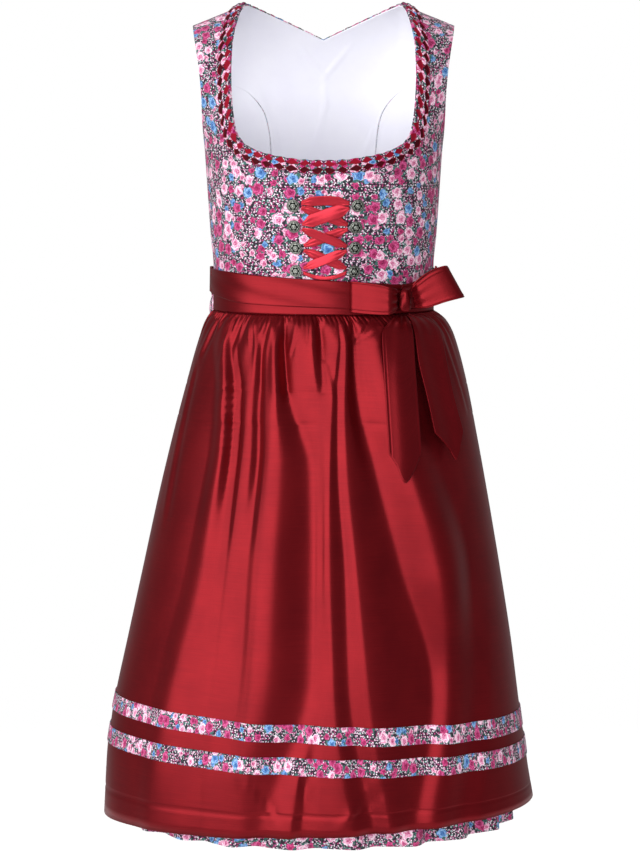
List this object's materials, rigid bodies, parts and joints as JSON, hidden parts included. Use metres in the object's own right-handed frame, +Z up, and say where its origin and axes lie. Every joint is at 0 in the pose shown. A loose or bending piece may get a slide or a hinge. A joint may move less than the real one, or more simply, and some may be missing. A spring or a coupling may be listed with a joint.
{
  "type": "dirndl",
  "caption": "Midi-length folk dress with a square-necked laced bodice, a gathered print skirt and a plain apron tied in a bow.",
  "frame": {"origin": "midway between the two shoulder straps, at the height of the shoulder seams", "axes": "+X to the wearer's left, -Y to the front, +Z up"},
  "size_m": [0.5206, 0.404, 0.9804],
  "materials": {
    "print": "matte",
    "lining": "matte",
    "trim": "matte",
    "taffeta": "satin",
    "satin": "satin",
    "silver": "satin"
  },
  "bodies": {
    "root": {"bodice_front_left": "print", "bodice_front_right": "print", "bodice_back_center": "print", "bodice_back_side_left": "print", "bodice_back_side_right": "print", "skirt_front": "print", "skirt_back": "print", "apron_band_lower": "print", "apron_band_upper": "print", "lining_back_center": "lining", "lining_back_side_left": "lining", "lining_back_side_right": "lining", "neck_trim_front_left": "trim", "neck_trim_front_right": "trim", "neck_trim_back": "trim", "apron": "taffeta", "apron_waistband": "taffeta", "tie_front_right": "taffeta", "tie_front_left": "taffeta", "tie_back_right": "taffeta", "tie_back_left": "taffeta", "bow_knot": "taffeta", "bow_loop_right": "taffeta", "bow_loop_left": "taffeta", "bow_tail_right": "taffeta", "bow_tail_left": "taffeta", "lacing_bar_top": "satin", "lacing_cross_1_under": "satin", "lacing_cross_1_over": "satin", "lacing_cross_2_under": "satin", "lacing_cross_2_over": "satin", "lacing_cross_3_under": "satin", "lacing_cross_3_over": "satin", "lacing_bar_bottom": "satin", "button_right_1": "silver", "button_right_2": "silver", "button_right_3": "silver", "button_right_4": "silver", "button_left_1": "silver", "button_left_2": "silver", "button_left_3": "silver", "button_left_4": "silver"}
  },
  "joints": []
}
